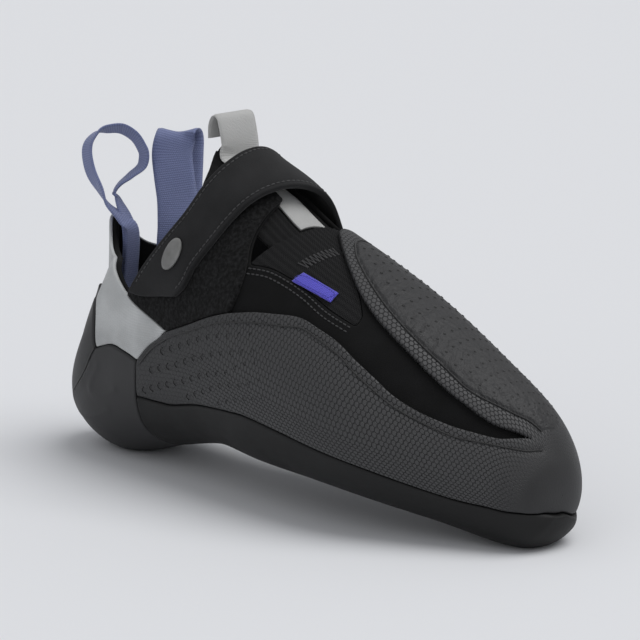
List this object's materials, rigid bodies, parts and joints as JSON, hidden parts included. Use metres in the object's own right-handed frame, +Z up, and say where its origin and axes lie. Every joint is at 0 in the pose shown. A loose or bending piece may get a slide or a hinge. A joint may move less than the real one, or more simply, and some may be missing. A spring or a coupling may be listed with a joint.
{
  "type": "climbing shoe",
  "caption": "Right climbing shoe with one hook-and-loop strap, rubber rand and heel cup, downturned rubber sole, padded tongue and webbing pull loops.",
  "frame": {"origin": "centre of the flat spot under the heel, on the floor", "axes": "+X points to the toe, +Y to the inner (medial) side, +Z up"},
  "size_m": [0.246, 0.079, 0.1391],
  "materials": {
    "sole_rubber": "matte moulded rubber",
    "rand_rubber": "matte rubber with moulded texture",
    "microfibre": "black suede-like microfibre",
    "panel_textile": "pale grey coated textile",
    "loop_pile": "black loop pile",
    "strap_nubuck": "dark nubuck strap with stitched edge",
    "rib_knit": "black ribbed knit",
    "pale_webbing": "pale grey woven tape",
    "blue_webbing": "grey-blue woven webbing",
    "label_textile": "violet-blue woven tab, blank",
    "badge_plastic": "plain grey moulded badge, blank",
    "insole_textile": "dark textile sock liner"
  },
  "bodies": {
    "root": {"upper": "microfibre", "insole": "insole_textile", "outsole": "sole_rubber", "heel_cup": "rand_rubber", "rand": "rand_rubber", "heel_panel": "panel_textile", "pile_patch": "loop_pile", "gusset": "rib_knit", "tongue": "rib_knit", "tongue_tape": "pale_webbing", "tongue_loop": "pale_webbing", "strap": "strap_nubuck", "side_tag": "label_textile", "badge": "badge_plastic", "heel_loop": "blue_webbing", "inner_loop": "blue_webbing"}
  },
  "joints": []
}
